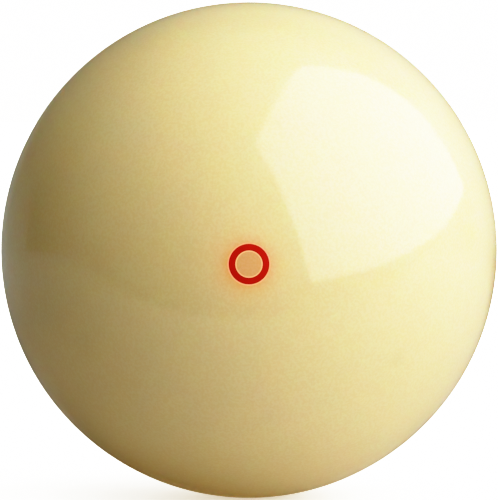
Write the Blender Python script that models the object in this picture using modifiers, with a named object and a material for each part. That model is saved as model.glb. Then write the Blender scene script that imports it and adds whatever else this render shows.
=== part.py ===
"""Pool cue ball: a solid cast resin ball with a red ring mark let into its front.

The ball holds an insert, which is a short rod of the ball's own resin (ring_core) inside a red
resin sleeve (red_ring). The insert is bonded into a pocket in the ball, and the ball is then
ground and polished, so that the ends of the sleeve and the rod are part of the same sphere.

Units are metres and +Z is up. The origin is the ball's centre, and the ring mark faces -Y.
"""

import math

import bpy

# Driving dimensions
BALL_DIAMETER = 0.05715  # the pool ball of the playing rules, 2 1/4 inches
RING_DIAMETER = 0.00445  # the red ring, over its outer edge
RING_LINE = 0.00072  # the width of the ring's line, which is the sleeve's wall
INSERT_LENGTH = 0.003  # the insert, from the top of the ball's curve to its inner end
LEAD_IN = 0.0002  # 45 degree chamfer on the sleeve's inner end, which starts it in the pocket
BOND_GAP = 0.00005  # the film of resin that bonds the sleeve to the pocket, and the rod to the sleeve

# How finely round surfaces are made
ROUND_STEPS = 72  # flats round a full turn
AXIS_MERGE = 0.000001  # joins the copies of a profile point that lies on the axis

# Sizes that follow from the driving dimensions. Each is measured from the ball's centre or axis.
BALL_RADIUS = BALL_DIAMETER / 2
SLEEVE_OUTER = RING_DIAMETER / 2
SLEEVE_INNER = SLEEVE_OUTER - RING_LINE
CORE_RADIUS = SLEEVE_INNER - BOND_GAP
POCKET_RADIUS = SLEEVE_OUTER + BOND_GAP
INSERT_END = BALL_RADIUS - INSERT_LENGTH
POCKET_FLOOR = INSERT_END - BOND_GAP


def make_material(name, color, roughness):
    """A plain polished resin."""
    material = bpy.data.materials.new(name)
    material.use_nodes = True
    shader = material.node_tree.nodes["Principled BSDF"]
    shader.inputs["Base Color"].default_value = (*color, 1)
    shader.inputs["Roughness"].default_value = roughness
    shader.inputs["Metallic"].default_value = 0
    material.diffuse_color = (*color, 1)
    return material


def angle_at(radius):
    """The angle from the ring's axis at which the ball's surface is this far from that axis."""
    return math.asin(radius / BALL_RADIUS)


def ball_arc(start, end):
    """Points of the ball's outline from one angle off the ring's axis to another, ends included."""
    steps = max(1, math.ceil(abs(end - start) * ROUND_STEPS / math.tau))
    angles = [start + (end - start) * step / steps for step in range(steps + 1)]
    return [(BALL_RADIUS * math.sin(angle), BALL_RADIUS * math.cos(angle)) for angle in angles]


def turned_piece(name, profile, closed, material, axis, collection):
    """A solid turned from a profile of (distance from the axis, distance along it) points.

    The profile is walked with the material on its right. A closed profile makes a ring, and an
    open one starts and ends on the axis.
    """
    edges = [(point, point + 1) for point in range(len(profile) - 1)]
    if closed:
        edges.append((len(profile) - 1, 0))
    mesh = bpy.data.meshes.new(name)
    mesh.from_pydata([(radius, 0, along) for radius, along in profile], edges, [])
    mesh.materials.append(material)
    piece = bpy.data.objects.new(name, mesh)
    collection.objects.link(piece)
    piece.parent = axis
    turn = piece.modifiers.new("turn", "SCREW")
    turn.steps = ROUND_STEPS
    turn.render_steps = ROUND_STEPS
    turn.use_merge_vertices = True
    turn.merge_threshold = AXIS_MERGE
    return piece


def ball_body_profile():
    """The whole ball, less the flat-floored pocket that the insert sits in."""
    pocket_floor = [(0, POCKET_FLOOR), (POCKET_RADIUS, POCKET_FLOOR)]
    front_half = ball_arc(angle_at(POCKET_RADIUS), math.pi / 2)
    back_half = ball_arc(math.pi / 2, math.pi)[1:-1]
    return pocket_floor + front_half + back_half + [(0, -BALL_RADIUS)]


def red_ring_profile():
    """The sleeve: its ground end, its outer wall with the lead-in, its inner end and its bore."""
    ground_end = ball_arc(angle_at(SLEEVE_INNER), angle_at(SLEEVE_OUTER))
    lead_in = [(SLEEVE_OUTER, INSERT_END + LEAD_IN), (SLEEVE_OUTER - LEAD_IN, INSERT_END)]
    return ground_end + lead_in + [(SLEEVE_INNER, INSERT_END)]


def ring_core_profile():
    """The rod inside the sleeve: its ground end, its side and its flat inner end."""
    ground_end = [(0, BALL_RADIUS)] + ball_arc(0, angle_at(CORE_RADIUS))[1:]
    return ground_end + [(CORE_RADIUS, INSERT_END), (0, INSERT_END)]


def main():
    for old in list(bpy.data.objects):
        bpy.data.objects.remove(old)
    collection = bpy.data.collections.new("cue_ball")
    bpy.context.scene.collection.children.link(collection)

    # The pieces are turned about this empty's Z axis, which points out of the ring mark
    ring_axis = bpy.data.objects.new("ring_axis", None)
    ring_axis.rotation_euler = (math.pi / 2, 0, 0)
    collection.objects.link(ring_axis)

    ball_resin = make_material("ball_resin", (0.82, 0.70, 0.38), 0.08)
    ring_resin = make_material("ring_resin", (0.60, 0.010, 0.012), 0.08)
    core_resin = make_material("core_resin", (0.80, 0.60, 0.30), 0.08)

    turned_piece("ball_body", ball_body_profile(), False, ball_resin, ring_axis, collection)
    turned_piece("red_ring", red_ring_profile(), True, ring_resin, ring_axis, collection)
    turned_piece("ring_core", ring_core_profile(), False, core_resin, ring_axis, collection)


main()
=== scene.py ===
"""A pool cue ball of ivory-coloured cast resin, with a red ring mark, on a pale table in a studio."""

import math

import bpy
from mathutils import Matrix, Quaternion, Vector


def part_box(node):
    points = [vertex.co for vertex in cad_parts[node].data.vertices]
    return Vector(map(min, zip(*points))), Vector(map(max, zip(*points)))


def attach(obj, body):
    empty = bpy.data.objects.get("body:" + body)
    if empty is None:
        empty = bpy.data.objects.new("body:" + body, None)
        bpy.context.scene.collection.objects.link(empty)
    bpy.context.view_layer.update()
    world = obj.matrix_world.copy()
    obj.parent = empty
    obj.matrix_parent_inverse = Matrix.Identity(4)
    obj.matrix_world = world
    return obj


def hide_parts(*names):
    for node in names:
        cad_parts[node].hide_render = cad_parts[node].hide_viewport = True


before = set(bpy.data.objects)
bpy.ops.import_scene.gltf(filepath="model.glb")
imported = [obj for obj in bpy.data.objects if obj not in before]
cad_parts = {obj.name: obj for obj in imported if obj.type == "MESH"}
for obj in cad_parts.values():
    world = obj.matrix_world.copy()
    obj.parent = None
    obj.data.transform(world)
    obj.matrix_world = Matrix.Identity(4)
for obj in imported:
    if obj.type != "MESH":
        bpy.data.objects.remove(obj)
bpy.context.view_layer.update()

# The ball and its insert, in metres. The ball, the sleeve's outside and the insert's end come from the
# CAD nodes. The width of the sleeve's line and its lead-in are those of the real piece.
BALL_LOW, BALL_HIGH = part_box("ball_body")
BALL_RADIUS = (BALL_HIGH.x - BALL_LOW.x) / 2
RING_LOW, RING_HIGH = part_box("red_ring")
SLEEVE_OUTER = (RING_HIGH.x - RING_LOW.x) / 2
SLEEVE_LINE = 0.00072
SLEEVE_INNER = SLEEVE_OUTER - SLEEVE_LINE
INSERT_END = RING_HIGH.y
LEAD_IN = 0.0002
JOINT = 0.000008  # what is left of the bond line once the faces are ground flush

# How finely the turned pieces are made
TURN_STEPS = 256
BALL_ARC_STEPS = 256  # points in a full circle of the ball's outline
INSERT_ARC_STEPS = 2880  # the same for the insert's short end arcs, which need closer points
WELD = 0.0000004  # points closer than this are one point
SHARP_ANGLE = math.radians(30)

FLOOR_LEVEL = BALL_LOW.z


# ---------------------------------------------------------------- modelling

def deselect_all():
    if bpy.context.object is not None and bpy.context.object.mode != "OBJECT":
        bpy.ops.object.mode_set(mode="OBJECT")
    bpy.ops.object.select_all(action="DESELECT")


def select_vertex_at(mesh_object, place):
    """Selects the one vertex that lies nearest to a place."""
    bpy.ops.mesh.select_all(action="DESELECT")
    bpy.ops.object.mode_set(mode="OBJECT")
    nearest = min(mesh_object.data.vertices, key=lambda vertex: (vertex.co - Vector(place)).length)
    nearest.select = True
    bpy.ops.object.mode_set(mode="EDIT")


def start_arc(name, arc_steps, first_angle, last_angle):
    """The ball's outline from one angle off the ring's axis to another, as a line in edit mode."""
    deselect_all()
    bpy.ops.mesh.primitive_circle_add(vertices=arc_steps, radius=BALL_RADIUS, fill_type="NOTHING")
    piece = bpy.context.object
    piece.name = name
    piece.data.name = name
    bpy.ops.object.mode_set(mode="EDIT")
    bpy.ops.mesh.select_mode(type="VERT")
    # Keep the half on the +X side of the axis, then the part between the two angles
    cuts = [((1, 0, 0), True)]
    if first_angle > 0:
        cuts.append(((math.cos(first_angle), math.sin(first_angle), 0), True))
    if last_angle < math.pi:
        cuts.append(((math.cos(last_angle), math.sin(last_angle), 0), False))
    for normal, keep_ahead in cuts:
        bpy.ops.mesh.select_all(action="SELECT")
        bpy.ops.mesh.bisect(plane_co=(0, 0, 0), plane_no=normal, threshold=WELD,
                            clear_inner=keep_ahead, clear_outer=not keep_ahead)
    return piece


def outline_point(angle):
    """Where the ball's outline is at an angle off the ring's axis, which points along -Y."""
    return Vector((math.sin(angle) * BALL_RADIUS, -math.cos(angle) * BALL_RADIUS, 0))


def run_on(piece, start, places):
    """Draws the outline on from one of its ends through each place in turn."""
    select_vertex_at(piece, start)
    at = Vector(start)
    for place in places:
        step = Vector(place) - at
        bpy.ops.mesh.extrude_region_move(TRANSFORM_OT_translate={"value": step})
        at = Vector(place)


def turn_outline(piece):
    """Turns the outline about the ring's axis into a closed solid with smooth faces."""
    bpy.ops.mesh.select_all(action="SELECT")
    bpy.ops.mesh.remove_doubles(threshold=WELD)
    bpy.ops.mesh.select_all(action="SELECT")
    bpy.ops.mesh.spin(steps=TURN_STEPS, angle=math.tau, center=(0, 0, 0), axis=(0, 1, 0))
    bpy.ops.mesh.select_all(action="SELECT")
    bpy.ops.mesh.remove_doubles(threshold=WELD)
    bpy.ops.mesh.select_all(action="SELECT")
    bpy.ops.mesh.normals_make_consistent(inside=False)
    bpy.ops.object.mode_set(mode="OBJECT")
    bpy.ops.object.shade_smooth_by_angle(angle=SHARP_ANGLE)
    return piece


def make_ball():
    """The ball, with the pocket for the insert in its front."""
    pocket_radius = SLEEVE_OUTER + JOINT
    mouth = math.asin(pocket_radius / BALL_RADIUS)
    piece = start_arc("ball", BALL_ARC_STEPS, mouth, math.pi)
    floor = INSERT_END + JOINT
    run_on(piece, outline_point(mouth), [(pocket_radius, floor, 0), (0, floor, 0)])
    return turn_outline(piece)


def make_ring():
    """The red sleeve, whose ground end is the ring that shows."""
    inner = math.asin(SLEEVE_INNER / BALL_RADIUS)
    outer = math.asin(SLEEVE_OUTER / BALL_RADIUS)
    piece = start_arc("ring", INSERT_ARC_STEPS, inner, outer)
    run_on(piece, outline_point(outer), [
        (SLEEVE_OUTER, INSERT_END - LEAD_IN, 0),
        (SLEEVE_OUTER - LEAD_IN, INSERT_END, 0),
        (SLEEVE_INNER, INSERT_END, 0),
        outline_point(inner),
    ])
    return turn_outline(piece)


def make_core():
    """The rod of ball resin inside the sleeve."""
    radius = SLEEVE_INNER - JOINT
    edge = math.asin(radius / BALL_RADIUS)
    piece = start_arc("core", INSERT_ARC_STEPS, 0, edge)
    run_on(piece, outline_point(edge), [(radius, INSERT_END, 0), (0, INSERT_END, 0)])
    return turn_outline(piece)


# ---------------------------------------------------------------- materials

class Value:
    """A number from a node's output, which can be used in sums."""

    def __init__(self, tree, socket):
        self.tree = tree
        self.socket = socket

    def math(self, operation, *others, clamp=False):
        """A Math node on this value and the others, which are links or numbers."""
        node = self.tree.nodes.new("ShaderNodeMath")
        node.operation = operation
        node.use_clamp = clamp
        for place, value in enumerate((self, *others)):
            if isinstance(value, Value):
                self.tree.links.new(value.socket, node.inputs[place])
            else:
                node.inputs[place].default_value = value
        return Value(self.tree, node.outputs[0])

    def flipped(self, operation, first):
        """A Math node on a number and this value, in that order."""
        node = self.tree.nodes.new("ShaderNodeMath")
        node.operation = operation
        node.inputs[0].default_value = first
        self.tree.links.new(self.socket, node.inputs[1])
        return Value(self.tree, node.outputs[0])

    def __add__(self, other):
        return self.math("ADD", other)

    def __radd__(self, other):
        return self.math("ADD", other)

    def __sub__(self, other):
        return self.math("SUBTRACT", other)

    def __rsub__(self, other):
        return self.flipped("SUBTRACT", other)

    def __mul__(self, other):
        return self.math("MULTIPLY", other)

    def __rmul__(self, other):
        return self.math("MULTIPLY", other)

    def __truediv__(self, other):
        return self.math("DIVIDE", other)

    def __pow__(self, other):
        return self.math("POWER", other)

    def clamp(self):
        return self.math("ADD", 0.0, clamp=True)


class Surface:
    """A material, or the room's light, that is being made, with its one shader."""

    def __init__(self, name):
        self.material = bpy.data.materials.new(name)
        self.material.use_nodes = True
        self.tree = self.material.node_tree
        self.shader = self.tree.nodes["Principled BSDF"]

    @classmethod
    def around(cls, world):
        """The room's light, whose shader is the world's background."""
        room = cls.__new__(cls)
        room.tree = world.node_tree
        room.shader = room.tree.nodes["Background"]
        return room

    def node(self, kind, settings=None, inputs=None, output=0):
        """Adds a node, sets it up and returns the output that is asked for."""
        node = self.tree.nodes.new(kind)
        for setting, value in (settings or {}).items():
            setattr(node, setting, value)
        for name, value in (inputs or {}).items():
            if isinstance(value, Value):
                self.tree.links.new(value.socket, node.inputs[name])
            else:
                node.inputs[name].default_value = value
        return Value(self.tree, node.outputs[output])

    def at(self):
        """Object coordinates."""
        return self.node("ShaderNodeTexCoord", output="Object")

    def axis(self, letter):
        """How far along one of the object's axes, X, Y or Z."""
        return self.node("ShaderNodeSeparateXYZ", None, {"Vector": self.at()}, output=letter)

    def vector(self, operation, first, second=(0, 0, 0), output="Vector"):
        """Vector maths on two vectors, which are links or (x, y, z)."""
        return self.node("ShaderNodeVectorMath", {"operation": operation}, {0: first, 1: second}, output)

    def place(self, location=(0, 0, 0), turn=(0, 0, 0), scale=(1, 1, 1)):
        """Object coordinates, moved, turned and scaled."""
        return self.node("ShaderNodeMapping", {"vector_type": "POINT"},
                         {"Vector": self.at(), "Location": location, "Rotation": turn, "Scale": scale})

    def noise(self, size, detail=2.0, roughness=0.5, at=None):
        """Cloudy noise whose patches are about this size, in metres."""
        return self.node("ShaderNodeTexNoise", None, {
            "Vector": at or self.place(), "Scale": 1 / size, "Detail": detail, "Roughness": roughness,
        }, output="Fac")

    def distance_from(self, point):
        return self.vector("DISTANCE", self.at(), point, output="Value")

    def mix(self, share, first, second, blend="MIX"):
        """A colour between two colours, which are links or (r, g, b)."""
        node = self.tree.nodes.new("ShaderNodeMix")
        node.data_type = "RGBA"
        node.blend_type = blend
        for place, value in ((0, share), (6, first), (7, second)):
            if isinstance(value, Value):
                self.tree.links.new(value.socket, node.inputs[place])
            elif place == 0:
                node.inputs[place].default_value = value
            else:
                node.inputs[place].default_value = (*value, 1)
        return Value(self.tree, node.outputs[2])

    def set(self, **inputs):
        """Sets the shader's sockets, whose names are written with _ for a space."""
        for name, value in inputs.items():
            socket = self.shader.inputs[name.replace("_", " ")]
            if isinstance(value, Value):
                self.tree.links.new(value.socket, socket)
            else:
                socket.default_value = value


# The resins' colours, as light reflected from the bare surface
IVORY = (0.81, 0.727, 0.475)
# The core is ball resin: its colour is the ivory with painted red light, a tint that stands in for light
# coming in through the red sleeve
CORE_IVORY_RED_LIT = (0.81, 0.52, 0.30)
PALE_EDGE = (0.93, 0.72, 0.46)
RED = (0.54, 0.008, 0.009)

# How deep red, green and blue light run inside the ball before they come out again
BALL_REACH = (0.0055, 0.0027, 0.0010)
CORE_REACH = (0.0005, 0.0003, 0.0002)

# Painted glow: the inserts' hidden walls give off this light of their own, in place of what the red sleeve
# lets through of the light inside the ball
HIDDEN_WALL_GLOW = (0.60, 0.06, 0.03)

# Painted red light: a warm tint in the ivory around the ring, standing in for the red sleeve showing
# through the translucent resin
PAINTED_RED_LIGHT_CENTRE = (-0.00028, 0, -0.00015)
PAINTED_RED_LIGHT_TINT = (1.0, 0.88, 0.62)
PAINTED_RED_LIGHT_REACH = 0.00082

# The pale line where the pieces are bonded, and a painted glow along it, which the surface gives off as
# light of its own
PALE_EDGE_WIDTH = 0.00017
PALE_EDGE_SHARE = 0.8
PAINTED_LINE_GLOW = (0.36, 0.13, 0.09)
SKIN_DEPTH = 0.00003  # an insert's faces deeper than this are its hidden walls

# The sizes of the patches in the ball's resin and its polish
CLOUD_SIZE = 0.012
MOTTLE_SIZE = 0.0022
GRAIN_SIZE = 0.00028
SMEAR_SIZE = 0.010
FINE_SMEAR_SIZE = 0.0012
RIPPLE_SIZE = 0.0035
SCRATCHED_PATCH_SIZE = 0.011

# Blue-grey specks of chalk dust
SPECK_COLOR = (0.34, 0.40, 0.44)
SPECK_SPACING = 0.0075
SPECK_SIZE = 0.00016
SPECK_SHARE = 0.35  # the share of the cells that have one
SPECK_STRENGTH = 0.35

# The sizes of the patches in the red resin
RED_CLOUD_SIZE = 0.0007
RED_GRAIN_SIZE = 0.00015

# Marks from use: the way from the ball's centre, the half width, the half height and the share of
# light lost, which is below 0 for a pale mark
HANDLING_MARKS = [
    ((0.58, -0.71, -0.39), 0.0008, 0.0008, 0.050),
    ((0.21, -0.59, -0.78), 0.0005, 0.0022, 0.035),
    ((-0.64, -0.70, -0.32), 0.0011, 0.0026, 0.030),
    ((0.43, -0.49, 0.76), 0.0003, 0.0003, 0.100),
    ((0.11, -0.84, 0.54), 0.0003, 0.0003, 0.070),
    ((0.31, -0.91, -0.27), 0.0005, 0.0004, -0.030),
    ((0.15, -0.96, -0.24), 0.0006, 0.0004, -0.025),
    ((0.34, -0.92, -0.21), 0.0004, 0.0004, -0.025),
]


def axis_distance(skin, centre=(0, 0, 0)):
    """How far a point on the surface lies from the ring's axis, or from a line beside it."""
    offset = skin.vector("SUBTRACT", skin.at(), centre)
    across = skin.vector("MULTIPLY", offset, (1, 0, 1))
    return skin.vector("LENGTH", across, output="Value")


def front_side(skin):
    """1 on the ring's half of the ball, 0 on the other half."""
    return skin.axis("Y").math("LESS_THAN", 0.0)


def give_off(skin, glow):
    """The surface gives off a little light, and isn't treated as a lamp."""
    skin.set(Emission_Color=glow, Emission_Strength=1.0)
    skin.material.cycles.emission_sampling = "NONE"


def painted_line_glow(skin, line):
    """A painted glow along the clear bond line, which the surface gives off as light of its own."""
    return skin.mix(line, (0, 0, 0), PAINTED_LINE_GLOW)


def paint_hidden_wall_glow(skin, outside=(0, 0, 0)):
    """Painted glow: an insert's hidden walls give off light of their own into the ball, in place of light
    that has gone through the resins.
    """
    hidden = skin.distance_from((0, 0, 0)).math("LESS_THAN", BALL_RADIUS - SKIN_DEPTH)
    give_off(skin, skin.mix(hidden, outside, HIDDEN_WALL_GLOW))


def soft_mark(skin, way, half_width, half_height):
    """1 in the middle of a soft-edged mark on the ball's surface, falling to 0 around it."""
    middle = Vector(way).normalized() * BALL_RADIUS
    offset = skin.vector("SUBTRACT", skin.at(), middle)
    spread = skin.vector("MULTIPLY", offset, (1 / half_width, 1 / half_width, 1 / half_height))
    away = skin.vector("LENGTH", spread, output="Value")
    return (-0.7 * away * away).math("EXPONENT")


def chalk_specks(skin, spacing, size, share):
    """1 on tiny specks, with one in a share of the cells."""
    cells = {"feature": "F1", "distance": "EUCLIDEAN"}
    inputs = {"Vector": skin.at(), "Scale": 1 / spacing, "Randomness": 1.0}
    away = skin.node("ShaderNodeTexVoronoi", cells, inputs, output="Distance")
    pick = skin.node("ShaderNodeTexVoronoi", cells, inputs, output="Color")
    chance = skin.node("ShaderNodeSeparateColor", None, {"Color": pick}, output="Red")
    spot = (1 - away * (spacing / size)).clamp()
    return spot * chance.math("LESS_THAN", share)


def hairlines(skin, turn, length, width):
    """Faint hairline scratches that run one way, 0 to 1."""
    at = skin.place(turn=turn, scale=(1 / width, 1 / length, 1 / width))
    streak = skin.node("ShaderNodeTexNoise", None, {
        "Vector": at, "Scale": 1.0, "Detail": 1.0, "Roughness": 0.5,
    }, output="Fac")
    patch = skin.noise(SCRATCHED_PATCH_SIZE, detail=1, at=skin.place(location=turn))
    return ((streak - 0.70) * 14).clamp() * ((patch - 0.5) * 5).clamp()


def polish(skin):
    """A hand-polished skin: soft smears, faint hairlines and a thin haze over the sharp gloss."""
    smear = skin.noise(SMEAR_SIZE, detail=4)
    fine = skin.noise(FINE_SMEAR_SIZE, detail=2)
    lines = hairlines(skin, turn=(0.4, 0.9, 0.2), length=0.014, width=0.00006)
    lines = lines + hairlines(skin, turn=(1.3, 0.2, 2.1), length=0.010, width=0.00005)
    skin.set(Roughness=0.045 + 0.05 * smear + 0.012 * fine + 0.10 * lines)
    ripple = skin.noise(RIPPLE_SIZE, detail=2)
    bump = skin.node("ShaderNodeBump", None, {
        "Strength": 0.05, "Distance": 0.00001, "Height": ripple - 0.25 * lines,
    }, output="Normal")
    skin.set(Normal=bump, IOR=1.6, Coat_Weight=0.7, Coat_Roughness=0.5, Coat_IOR=1.5)


def scatter(skin, reach):
    """Light runs on under the surface, this far for red, green and blue."""
    skin.shader.subsurface_method = "RANDOM_WALK"
    skin.set(Subsurface_Weight=1.0, Subsurface_Radius=reach, Subsurface_Scale=1.0)


def cast_grain(skin, color):
    """Cloudy tone of the cast resin and its fine grain."""
    cloud = skin.noise(CLOUD_SIZE, detail=3)
    mottle = skin.noise(MOTTLE_SIZE, detail=2)
    grain = skin.noise(GRAIN_SIZE, detail=1)
    tone = 0.5 + (cloud - 0.5) * 0.6 + (mottle - 0.5) * 0.8 + (grain - 0.5) * 4.5
    deep = tuple(value * share for value, share in zip(color, (0.985, 0.965, 0.92)))
    pale = tuple(value * share for value, share in zip(color, (1.015, 1.03, 1.07)))
    return skin.mix(tone.clamp(), deep, pale)


def ball_resin():
    skin = Surface("polished_ivory_resin")
    color = cast_grain(skin, IVORY)
    # Painted red light: the ivory is tinted warmer near the ring, fading away from it
    painted_red_light = ((axis_distance(skin, PAINTED_RED_LIGHT_CENTRE) - SLEEVE_OUTER) * (-1 / PAINTED_RED_LIGHT_REACH)).math("EXPONENT")
    painted_red_light = painted_red_light.math("MINIMUM", 1.0) * front_side(skin)
    color = skin.mix(painted_red_light, color, PAINTED_RED_LIGHT_TINT, blend="MULTIPLY")
    # The pale line is full over the near half of its width and fades over the rest
    edge = 2 - (axis_distance(skin) - SLEEVE_OUTER) * (2 / PALE_EDGE_WIDTH)
    edge = edge.clamp() * front_side(skin)
    color = skin.mix(edge * PALE_EDGE_SHARE, color, PALE_EDGE)
    for way, half_width, half_height, loss in HANDLING_MARKS:
        tint = (1 - loss, 1 - loss, 1 - 1.3 * loss)
        color = skin.mix(soft_mark(skin, way, half_width, half_height), color, tint, blend="MULTIPLY")
    specks = chalk_specks(skin, SPECK_SPACING, SPECK_SIZE, SPECK_SHARE)
    skin.set(Base_Color=skin.mix(specks * SPECK_STRENGTH, color, SPECK_COLOR))
    # Painted glow along the bond line
    give_off(skin, painted_line_glow(skin, edge))
    scatter(skin, BALL_REACH)
    polish(skin)
    return skin.material


def core_resin():
    skin = Surface("polished_core_resin")
    color = cast_grain(skin, CORE_IVORY_RED_LIT)
    edge = (2 - (SLEEVE_INNER - axis_distance(skin)) * (2 / PALE_EDGE_WIDTH)).clamp()
    skin.set(Base_Color=skin.mix(edge * PALE_EDGE_SHARE, color, PALE_EDGE))
    scatter(skin, CORE_REACH)
    # Painted glow: red on the core's hidden walls, and along the bond line on its face
    paint_hidden_wall_glow(skin, outside=painted_line_glow(skin, edge))
    polish(skin)
    return skin.material


def red_resin():
    skin = Surface("polished_red_resin")
    cloud = skin.noise(RED_CLOUD_SIZE, detail=2)
    grain = skin.noise(RED_GRAIN_SIZE, detail=1)
    tone = (cloud * 0.7 + grain * 0.3).clamp()
    deep = tuple(value * 0.88 for value in RED)
    pale = tuple(value * 1.12 for value in RED)
    color = skin.mix(tone, deep, pale)
    # The line is darker along both its edges
    from_middle = (axis_distance(skin) - (SLEEVE_INNER + SLEEVE_LINE / 2)).math("ABSOLUTE")
    edges = ((from_middle - 0.3 * SLEEVE_LINE) / (0.2 * SLEEVE_LINE)).clamp()
    skin.set(Base_Color=skin.mix(edges * 0.35, color, (0, 0, 0)))
    # Painted glow on the sleeve's hidden walls
    paint_hidden_wall_glow(skin)
    polish(skin)
    return skin.material


# ---------------------------------------------------------------- pieces

def dress(piece, material, node):
    piece.data.materials.append(material)
    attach(piece, "root")
    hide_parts(node)


dress(make_ball(), ball_resin(), "ball_body")
dress(make_ring(), red_resin(), "red_ring")
dress(make_core(), core_resin(), "ring_core")


# ---------------------------------------------------------------- studio

def way_to(azimuth, elevation):
    """The way from the ball to a place round it. Azimuth 0 is the ring's side, 90 is +X."""
    around, above = math.radians(azimuth), math.radians(elevation)
    level = math.cos(above)
    return Vector((math.sin(around) * level, -math.cos(around) * level, math.sin(above)))


def area_light(name, centre, azimuth, lean, half_width, half_height, strength, roll=0.0, mirrored=True):
    """A flat light whose face has the given radiance. Its back points to the azimuth and up by the lean."""
    back = way_to(azimuth, lean)
    right = Vector((0, 0, 1)).cross(back).normalized()
    right.rotate(Quaternion(back, math.radians(roll)))
    up = back.cross(right)
    data = bpy.data.lights.new(name, "AREA")
    data.shape = "RECTANGLE"
    data.size = 2 * half_width
    data.size_y = 2 * half_height
    data.energy = strength * math.pi * (2 * half_width) * (2 * half_height)
    lamp = bpy.data.objects.new(name, data)
    lamp.matrix_world = Matrix((
        (right.x, up.x, back.x, centre[0]),
        (right.y, up.y, back.y, centre[1]),
        (right.z, up.z, back.z, centre[2]),
        (0, 0, 0, 1),
    ))
    lamp.visible_camera = False
    lamp.visible_glossy = mirrored
    bpy.context.scene.collection.objects.link(lamp)


def soft_fill(name, azimuth, elevation, half_width, half_height, strength):
    """A fill light that faces the ball and doesn't mirror in it."""
    centre = way_to(azimuth, elevation) * FILL_DISTANCE
    area_light(name, centre, azimuth, elevation, half_width, half_height, strength, mirrored=False)


def stage_piece(name, color, strength=0.0):
    """Names the stage object that was just added and gives it its surface."""
    piece = bpy.context.object
    piece.name = name
    surface = Surface(name)
    surface.set(Base_Color=(*color, 1), Roughness=0.9)
    surface.set(Emission_Color=(1, 1, 1, 1), Emission_Strength=strength)
    piece.data.materials.append(surface.material)
    return piece, surface


def stage_card(name, low_x, high_x, low_y, high_y, level, color, strength=0.0):
    """A flat level card that the camera doesn't see, and that lights the ball and mirrors in it."""
    deselect_all()
    centre = ((low_x + high_x) / 2, (low_y + high_y) / 2, level)
    bpy.ops.mesh.primitive_plane_add(size=1, location=centre)
    bpy.ops.object.mode_set(mode="EDIT")
    bpy.ops.transform.resize(value=(high_x - low_x, high_y - low_y, 1))
    bpy.ops.object.mode_set(mode="OBJECT")
    card, surface = stage_piece(name, color, strength)
    card.visible_camera = False
    return card, surface


# The big softbox stands up on the right, high over the ball, and is rolled a little on its stand
area_light("softbox", centre=(0.95, -0.35, 1.71), azimuth=70.5, lean=6.7,
           half_width=1.63, half_height=1.71, strength=2.85, roll=15)
FILL_DISTANCE = 1.5
soft_fill("right_fill", azimuth=55, elevation=30, half_width=0.60, half_height=0.40, strength=3.75)
soft_fill("front_fill", azimuth=-20, elevation=66, half_width=0.50, half_height=0.42, strength=2.65)
soft_fill("rear_fill", azimuth=183, elevation=5, half_width=0.60, half_height=0.40, strength=5.2)

# The table's straight front edge mirrors in the ball as a faint line
TABLE_FRONT = -2.4 * BALL_RADIUS
TABLE_BACK = 0.6
TABLE_SIDE = 0.8
TABLE_DROP = 0.0002  # how far it lies below the floor that the camera sees
TABLE_LIT = (0.42, 0.40, 0.40)
TABLE_SHADED = (0.08, 0.08, 0.085)
BALL_GLOW = (0.25, 0.19, 0.12)
BALL_GLOW_RADIUS = 0.030
TABLE_DAYLIGHT = (0.23, 0.29, 0.37)
TO_SHADE = (-0.70, 0.71, 0)
SHADE_START = 0.018
SHADE_RUN = 0.075
DAYLIGHT_START = 0.02
DAYLIGHT_RUN = 0.12
table, table_surface = stage_card("table_top", -TABLE_SIDE, TABLE_SIDE, TABLE_FRONT, TABLE_BACK,
                                  FLOOR_LEVEL - TABLE_DROP, TABLE_LIT, 1.0)
resting_spot = (0, -table.location.y, 0)
from_spot = table_surface.vector("SUBTRACT", table_surface.at(), resting_spot)
# Painted shade: the table's colour darkens behind the ball on its left
into_shade = table_surface.vector("DOT_PRODUCT", from_spot, TO_SHADE, output="Value")
shade = ((into_shade - SHADE_START) / SHADE_RUN).clamp()
table_surface.set(Base_Color=table_surface.mix(shade, TABLE_LIT, TABLE_SHADED))
# Painted cool daylight glows on its far left
to_left = table_surface.vector("DOT_PRODUCT", from_spot, (-1, 0, 0), output="Value")
daylit = ((to_left - DAYLIGHT_START) / DAYLIGHT_RUN).clamp() * shade
daylight = table_surface.mix(daylit, (0, 0, 0), TABLE_DAYLIGHT)
# Painted glow on the table round the spot where the ball rests, standing in for light that comes through
# the ball
under_ball = 1 - table_surface.distance_from(resting_spot) / BALL_GLOW_RADIUS
table_surface.set(Emission_Color=table_surface.mix(under_ball.clamp(), daylight, BALL_GLOW))

# The backdrop stands along the table's back edge. Its left side is dim above a low band of cool
# daylight, and its right side is brighter.
BACKDROP_MIDDLE = -0.05
BACKDROP_WIDTH = 1.70
BACKDROP_HEIGHT = 0.52
BACKDROP_DAYLIGHT = (0.30, 0.36, 0.42)
BACKDROP_DIM = (0.12, 0.12, 0.13)
BACKDROP_BRIGHT = (0.42, 0.42, 0.42)
BAND_TOP = -0.24  # up from the backdrop's middle
BAND_FADE = 0.16
BRIGHT_START = -0.13  # to the right of its middle
BRIGHT_FADE = 0.28
deselect_all()
bpy.ops.mesh.primitive_plane_add(size=1, rotation=(math.pi / 2, 0, 0),
                                 location=(BACKDROP_MIDDLE, TABLE_BACK, FLOOR_LEVEL + BACKDROP_HEIGHT / 2))
bpy.ops.object.mode_set(mode="EDIT")
bpy.ops.transform.resize(value=(BACKDROP_WIDTH, 1, BACKDROP_HEIGHT))
bpy.ops.object.mode_set(mode="OBJECT")
backdrop, backdrop_surface = stage_piece("backdrop", (0.02, 0.02, 0.02), 1.0)
upward = ((backdrop_surface.axis("Y") - BAND_TOP) / BAND_FADE).clamp()
rightward = ((backdrop_surface.axis("X") - BRIGHT_START) / BRIGHT_FADE).clamp()
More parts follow.
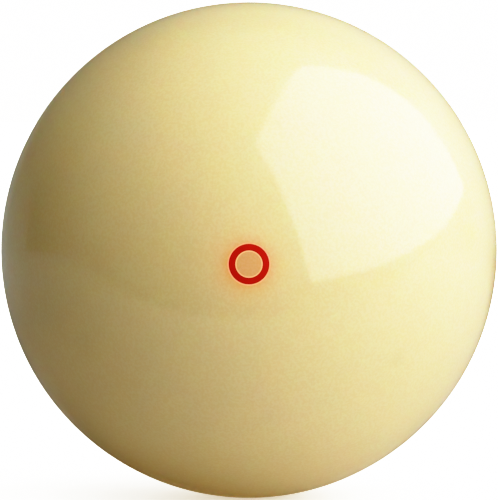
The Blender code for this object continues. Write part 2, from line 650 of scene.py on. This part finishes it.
left_glow = backdrop_surface.mix(upward, BACKDROP_DAYLIGHT, BACKDROP_DIM)
backdrop_surface.set(Emission_Color=backdrop_surface.mix(rightward, left_glow, BACKDROP_BRIGHT))
backdrop.visible_camera = False
backdrop.visible_shadow = False


def only_for_the_camera(piece):
    """The camera sees it, and it neither lights the ball nor mirrors in it."""
    piece.visible_diffuse = False
    piece.visible_glossy = False
    piece.visible_transmission = False
    piece.visible_shadow = False


# What the camera sees round the ball: a bright white floor, with a painted shadow where the ball
# rests, that runs up into a white cove
COVE_RADIUS = 1.9
CONTACT_SHADE_RADIUS = 0.036
CONTACT_SHADE = (0.20, 0.205, 0.23)
deselect_all()
bpy.ops.mesh.primitive_circle_add(vertices=128, radius=COVE_RADIUS, fill_type="NGON",
                                  location=(0, 0, FLOOR_LEVEL))
floor, floor_surface = stage_piece("white_floor", (0.8, 0.8, 0.8))
# Painted shadow: the floor's glow is darker near the spot where the ball rests
from_contact = (floor_surface.distance_from((0, 0, 0)) / CONTACT_SHADE_RADIUS).clamp()
floor_glow = floor_surface.mix(from_contact, CONTACT_SHADE, (1.0, 1.0, 1.0))
floor_surface.set(Emission_Color=floor_glow, Emission_Strength=2.0)
only_for_the_camera(floor)

deselect_all()
bpy.ops.mesh.primitive_uv_sphere_add(segments=64, ring_count=32, radius=COVE_RADIUS,
                                     location=(0, 0, FLOOR_LEVEL))
cove, _ = stage_piece("white_cove", (0.0, 0.0, 0.0), 2.5)
only_for_the_camera(cove)

# The room is dim, with soft light from high on the right behind the ball
WINDOW_WAY = Vector((0.42, 0.42, 0.80)).normalized()
ROOM_DIM = 0.04
WINDOW_LIGHT = 0.52
world = bpy.data.worlds.new("room")
bpy.context.scene.world = world
world.use_nodes = True
room = Surface.around(world)
way_out = room.node("ShaderNodeTexCoord", output="Generated")
toward_window = room.vector("DOT_PRODUCT", way_out, WINDOW_WAY, output="Value")
room.set(Strength=ROOM_DIM + WINDOW_LIGHT * toward_window.math("MAXIMUM", 0.0) ** 3)


# ---------------------------------------------------------------- camera

CAMERA_DISTANCE = 20 * BALL_RADIUS
CAMERA_RISE = math.radians(3.12)
BALL_SHARE = 0.9916  # how much of the frame's longer side the ball fills
SENSOR_WIDTH = 36
camera_data = bpy.data.cameras.new("camera")
camera = bpy.data.objects.new("camera", camera_data)
bpy.context.scene.collection.objects.link(camera)
camera.location = (0, -math.cos(CAMERA_RISE) * CAMERA_DISTANCE, math.sin(CAMERA_RISE) * CAMERA_DISTANCE)
camera.rotation_euler = (math.pi / 2 - CAMERA_RISE, 0, 0)
camera_data.sensor_width = SENSOR_WIDTH
camera_data.lens = SENSOR_WIDTH / 2 * BALL_SHARE / math.tan(math.asin(BALL_RADIUS / CAMERA_DISTANCE))
camera_data.clip_start = 0.01
camera_data.clip_end = 20
bpy.context.scene.camera = camera

# The film: soft shoulder in the highlights, and deeper yellows in the shade
SHOULDER = 0.64
TOES = (0.0, 0.045, 0.20)  # for red, green and blue
DARKEST = 0.02
BRIGHTEST = 6.0
POINT_RATIO = 1.25  # from one point of the curve to the next


def film(light, toe):
    """What the film shows of an amount of light."""
    light = light * light / (light + toe) if light > 0 else 0.0
    if light < SHOULDER:
        return light
    headroom = 1 - SHOULDER
    return SHOULDER + headroom * (1 - math.exp((SHOULDER - light) / headroom))


view = bpy.context.scene.view_settings
view.view_transform = "Standard"
view.use_curve_mapping = True
curves = view.curve_mapping
curves.use_clip = False
curves.extend = "EXTRAPOLATED"
curves.clip_max_x = BRIGHTEST
curves.clip_max_y = 2.0
for curve, toe in zip(curves.curves, TOES):
    curve.points[0].location = (0, 0)
    curve.points[-1].location = (BRIGHTEST, film(BRIGHTEST, toe))
    light = DARKEST
    while light < BRIGHTEST:
        curve.points.new(light, film(light, toe))
        light *= POINT_RATIO
    for point in curve.points:
        point.handle_type = "VECTOR"
curves.update()
